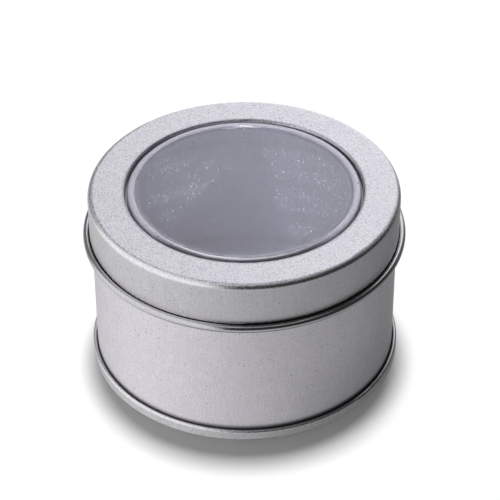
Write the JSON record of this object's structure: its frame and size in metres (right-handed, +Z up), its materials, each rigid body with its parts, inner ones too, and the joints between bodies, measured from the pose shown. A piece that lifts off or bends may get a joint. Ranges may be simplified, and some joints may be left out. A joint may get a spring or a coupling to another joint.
{
  "type": "candle tin with window lid",
  "caption": "Round tinplate candle tin with a double-seamed base, rolled rim and a slip lid with a clear raised window.",
  "frame": {"origin": "centre of the ring that the tin stands on, on the surface it stands on", "axes": "+Z up along the tin's axis; the side seam is on the +X side, turned 22 degrees towards +Y"},
  "size_m": [0.075, 0.075, 0.045],
  "materials": {
    "tinplate": "frosted bright tinplate, fine grain",
    "tinplate_base": "frosted bright tinplate, fine grain",
    "sealing_compound": "cured sealing compound, matt",
    "tinplate_lid": "frosted bright tinplate, fine grain",
    "clear_plastic": "clear formed sheet, slight haze",
    "glue": "clear set glue"
  },
  "bodies": {
    "can": {"body_wall": "tinplate", "base_end": "tinplate_base", "seam_compound": "sealing_compound"},
    "lid": {"lid_ring": "tinplate_lid", "window": "clear_plastic", "window_glue": "glue"}
  },
  "joints": [
    {"name": "lid_lift", "type": "slide", "parent": "can", "child": "lid", "axis": [0, 0, 1], "range_m": [0, 0.06]}
  ]
}
